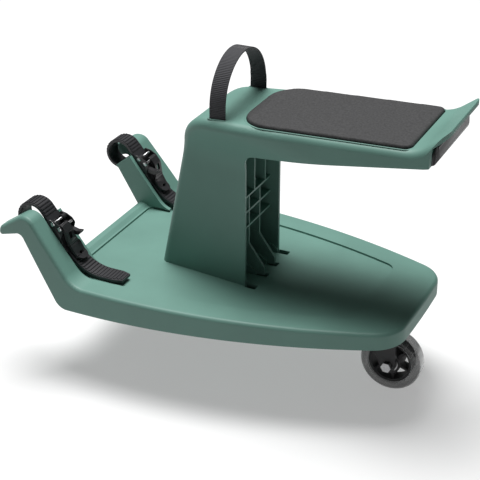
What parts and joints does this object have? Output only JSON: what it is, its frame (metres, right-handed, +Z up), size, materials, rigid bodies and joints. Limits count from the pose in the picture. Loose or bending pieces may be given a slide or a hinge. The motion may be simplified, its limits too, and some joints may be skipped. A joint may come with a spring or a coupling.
{
  "type": "buggy board with seat",
  "caption": "Moulded ride-on board that straps to a pushchair's rear frame, with hooked arms, ratchet straps, a swivel castor and a slide-on padded seat with a carry loop.",
  "frame": {"origin": "middle of the overall length and width, on the ground under the castor wheel", "axes": "+X towards the nose and its castor, +Y across the board to the left-hand strap, +Z up"},
  "size_m": [0.5291, 0.3, 0.401],
  "materials": {
    "green_plastic": "fine matt moulded texture",
    "black_plastic": "satin moulded",
    "strap": "ribbed, satin",
    "webbing": "woven",
    "pad": "grained foam skin",
    "tyre": "clear, glossy",
    "wheel_core": "satin moulded",
    "steel": "zinc plated"
  },
  "bodies": {
    "board": {"deck": "green_plastic", "castor_socket": "black_plastic", "ladder_strap_left": "strap", "ladder_strap_right": "strap", "strap_anchor_plate_left": "steel", "strap_anchor_plate_right": "steel", "strap_anchor_screws": "steel", "buckle_screws": "steel", "buckle_base_left": "black_plastic", "buckle_base_right": "black_plastic", "release_bar_left": "steel", "release_bar_right": "steel", "lever_pin_left": "steel", "lever_pin_right": "steel"},
    "castor": {"castor_stem": "steel", "stem_grip_ring": "steel", "thrust_washer": "black_plastic", "castor_fork": "black_plastic", "axle_bolt": "steel", "axle_nut": "steel", "axle_sleeves": "steel", "bearing_spacer": "steel"},
    "wheel": {"wheel_core": "wheel_core", "wheel_tyre": "tyre", "wheel_bearing_left": "steel", "wheel_bearing_right": "steel"},
    "lever_left": {"buckle_lever_left": "black_plastic"},
    "lever_right": {"buckle_lever_right": "black_plastic"},
    "pawl_left": {"holding_pawl_left": "black_plastic"},
    "pawl_right": {"holding_pawl_right": "black_plastic"},
    "seat": {"seat_shell": "green_plastic", "seat_pad": "pad", "seat_end_cap": "black_plastic", "carry_strap": "webbing", "carry_strap_bar_left": "steel", "carry_strap_bar_right": "steel"}
  },
  "joints": [
    {"name": "castor_swivel", "type": "hinge", "parent": "board", "child": "castor", "pos_m": [0.1845, 0, 0.0905], "axis": [0, 0, 1], "continuous": true},
    {"name": "wheel_spin", "type": "hinge", "parent": "castor", "child": "wheel", "pos_m": [0.1985, 0, 0.038], "axis": [0, 1, 0], "continuous": true},
    {"name": "lever_left", "type": "hinge", "parent": "board", "child": "lever_left", "pos_m": [-0.18938, 0.105, 0.18173], "axis": [0, -1, 0], "range_deg": [0, 75], "stiffness_Nm_per_rad": 0.05, "springref_deg": -17.19},
    {"name": "lever_right", "type": "hinge", "parent": "board", "child": "lever_right", "pos_m": [-0.18938, -0.105, 0.18173], "axis": [0, -1, 0], "range_deg": [0, 75], "stiffness_Nm_per_rad": 0.05, "springref_deg": -17.19},
    {"name": "pawl_left", "type": "hinge", "parent": "board", "child": "pawl_left", "pos_m": [-0.1986, 0.105, 0.18668], "axis": [0, -1, 0], "range_deg": [0, 15], "stiffness_Nm_per_rad": 0.05, "springref_deg": -17.19},
    {"name": "pawl_right", "type": "hinge", "parent": "board", "child": "pawl_right", "pos_m": [-0.1986, -0.105, 0.18668], "axis": [0, -1, 0], "range_deg": [0, 15], "stiffness_Nm_per_rad": 0.05, "springref_deg": -17.19},
    {"name": "seat_slide", "type": "slide", "parent": "board", "child": "seat", "axis": [1, 0, 0], "range_m": [0, 0.014]}
  ]
}
